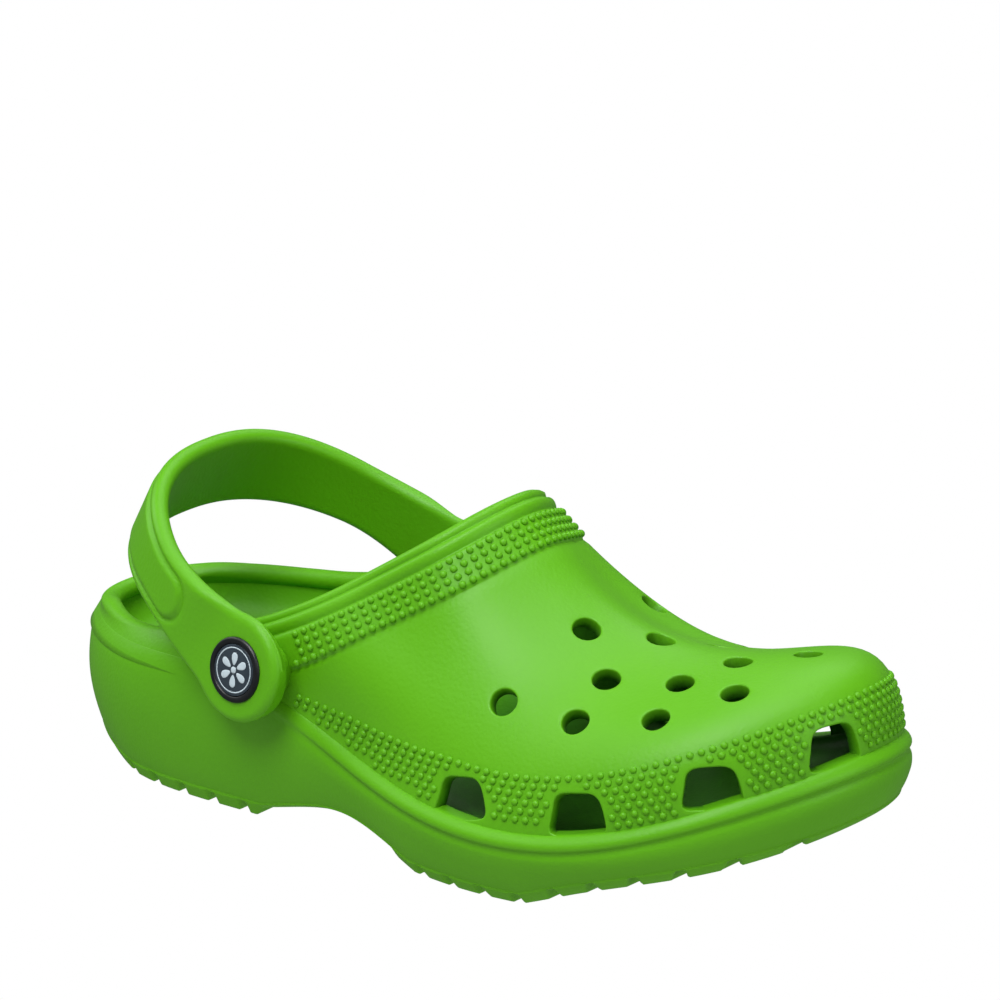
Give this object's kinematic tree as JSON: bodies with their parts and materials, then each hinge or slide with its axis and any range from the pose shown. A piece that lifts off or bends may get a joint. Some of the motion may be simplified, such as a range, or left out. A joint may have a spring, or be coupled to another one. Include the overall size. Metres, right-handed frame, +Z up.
{
  "type": "foam garden clog",
  "caption": "One-piece foam clog for a right foot, with vent holes, a nubbed collar and a heel strap that swings on two snap rivets.",
  "frame": {"origin": "middle of the clog's bounding box, on the floor that the sole stands on", "axes": "+X from the heel to the toe, +Y to the inner side of the foot, +Z up"},
  "size_m": [0.263, 0.1136, 0.0972],
  "materials": {
    "foam": "satin closed-cell foam with a fine grain",
    "rivet_plastic": "gloss black",
    "badge": "charcoal with a light grey printed motif",
    "socket_plastic": "matt black"
  },
  "bodies": {
    "clog": {"clog_body": "foam"},
    "strap": {"heel_strap": "foam", "outer_rivet_stud": "rivet_plastic", "outer_rivet_badge": "badge", "outer_rivet_socket": "socket_plastic", "inner_rivet_stud": "rivet_plastic", "inner_rivet_badge": "badge", "inner_rivet_socket": "socket_plastic"}
  },
  "joints": [
    {"name": "strap_swing", "type": "hinge", "parent": "clog", "child": "strap", "pos_m": [-0.04182, 0, 0.04831], "axis": [0, 1, 0], "range_deg": [-12, 92]}
  ]
}
